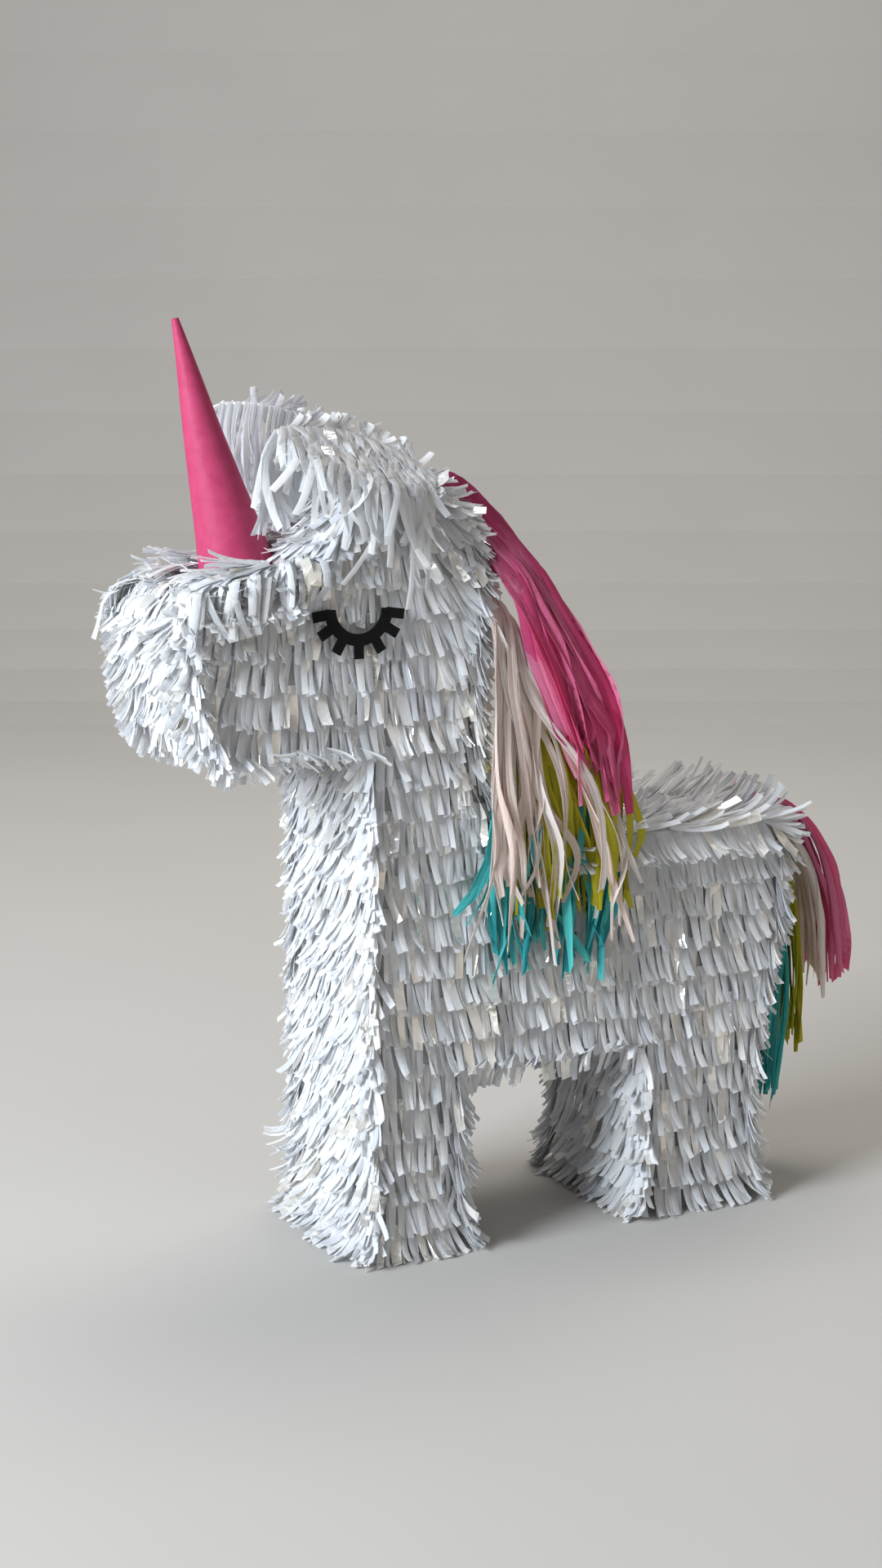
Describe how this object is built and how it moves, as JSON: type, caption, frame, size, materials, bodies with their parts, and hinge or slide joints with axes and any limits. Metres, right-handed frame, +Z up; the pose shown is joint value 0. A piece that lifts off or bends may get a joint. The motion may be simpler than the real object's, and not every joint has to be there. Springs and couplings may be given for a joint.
{
  "type": "unicorn pinata",
  "caption": "Card box pinata in the shape of a standing unicorn, covered in white paper fringe, with a pink paper horn, closed eyes, a filling flap and a tissue mane and tail.",
  "frame": {"origin": "centre of the front foot's sole, on the floor", "axes": "+X from snout to tail, +Z up, -Y towards the animal's left side"},
  "size_m": [0.5283, 0.1657, 0.6019],
  "materials": {
    "card": "uncoated corrugated card",
    "white_card": "uncoated white card",
    "white_tissue": "matte white tissue paper, thin enough to let light through",
    "pearl_film": "glossy pearl film strips among the tissue",
    "pink_tissue": "matte crepe and tissue paper",
    "cream_tissue": "matte crepe and tissue paper",
    "lime_tissue": "matte crepe and tissue paper",
    "teal_tissue": "matte crepe and tissue paper",
    "horn_paper": "smooth coloured paper, slightly satin",
    "black_card": "matte black card",
    "eyelet_metal": "polished"
  },
  "bodies": {
    "root": {"left_panel": "card", "right_panel": "card", "chest_strip": "card", "jaw_strip": "card", "snout_strip": "card", "bridge_strip": "card", "brow_strip": "card", "poll_strip": "card", "neck_strip": "card", "back_strip": "card", "rump_strip": "card", "rear_sole": "card", "rear_leg_strip": "card", "belly_strip": "card", "front_leg_strip": "card", "front_sole": "card", "neck_divider": "card", "front_leg_divider": "card", "rear_leg_divider": "card", "hang_plate": "card", "hang_eyelet": "eyelet_metal", "horn": "horn_paper", "horn_tabs": "horn_paper", "left_ear": "white_card", "right_ear": "white_card", "left_eye": "black_card", "right_eye": "black_card", "fringe_left": "white_tissue", "fringe_right": "white_tissue", "fringe_chest": "white_tissue", "fringe_jaw": "white_tissue", "fringe_snout": "white_tissue", "fringe_bridge": "white_tissue", "fringe_brow": "white_tissue", "fringe_poll": "white_tissue", "fringe_neck": "white_tissue", "fringe_back": "white_tissue", "fringe_rump": "white_tissue", "fringe_rear_leg": "white_tissue", "fringe_belly": "white_tissue", "fringe_front_leg": "white_tissue", "fringe_left_ear": "white_tissue", "fringe_right_ear": "white_tissue", "mane_crest": "pink_tissue", "tail_anchor": "card"},
    "flap": {"fill_flap": "card", "fringe_flap": "white_tissue"},
    "pink_locks": {"mane_pink": "pink_tissue"},
    "cream_locks": {"mane_cream": "cream_tissue"},
    "lime_locks": {"mane_lime": "lime_tissue"},
    "teal_locks": {"mane_teal": "teal_tissue"},
    "tail_root": {"tail_wrap": "pink_tissue"},
    "tail": {"tail_pink": "pink_tissue", "tail_cream": "cream_tissue", "tail_lime": "lime_tissue", "tail_teal": "teal_tissue"}
  },
  "joints": [
    {"name": "flap_hinge", "type": "hinge", "parent": "root", "child": "flap", "pos_m": [0.224, 0, 0.268], "axis": [0, 1, 0], "range_deg": [0, 95]},
    {"name": "pink_swing", "type": "hinge", "parent": "root", "child": "pink_locks", "pos_m": [0.09, -0.027, 0.51], "axis": [-1, 0, 0], "range_deg": [0, 30]},
    {"name": "cream_swing", "type": "hinge", "parent": "root", "child": "cream_locks", "pos_m": [0.07, -0.048, 0.442], "axis": [-1, 0, 0], "range_deg": [0, 30]},
    {"name": "lime_swing", "type": "hinge", "parent": "root", "child": "lime_locks", "pos_m": [0.11, -0.072, 0.347], "axis": [-1, 0, 0], "range_deg": [0, 30]},
    {"name": "teal_swing", "type": "hinge", "parent": "root", "child": "teal_locks", "pos_m": [0.09, -0.0675, 0.312], "axis": [-1, 0, 0], "range_deg": [0, 30]},
    {"name": "tail_sway", "type": "hinge", "parent": "root", "child": "tail_root", "pos_m": [0.2883, 0, 0.278], "axis": [1, 0, 0], "range_deg": [-12, 12]},
    {"name": "tail_lift", "type": "hinge", "parent": "tail_root", "child": "tail", "pos_m": [0.2903, 0, 0.28], "axis": [0, -1, 0], "range_deg": [0, 30]}
  ],
  "couplings": [
    {"joint": "cream_swing", "follows": "pink_swing", "ratio": 1},
    {"joint": "lime_swing", "follows": "pink_swing", "ratio": 1},
    {"joint": "teal_swing", "follows": "pink_swing", "ratio": 1}
  ]
}
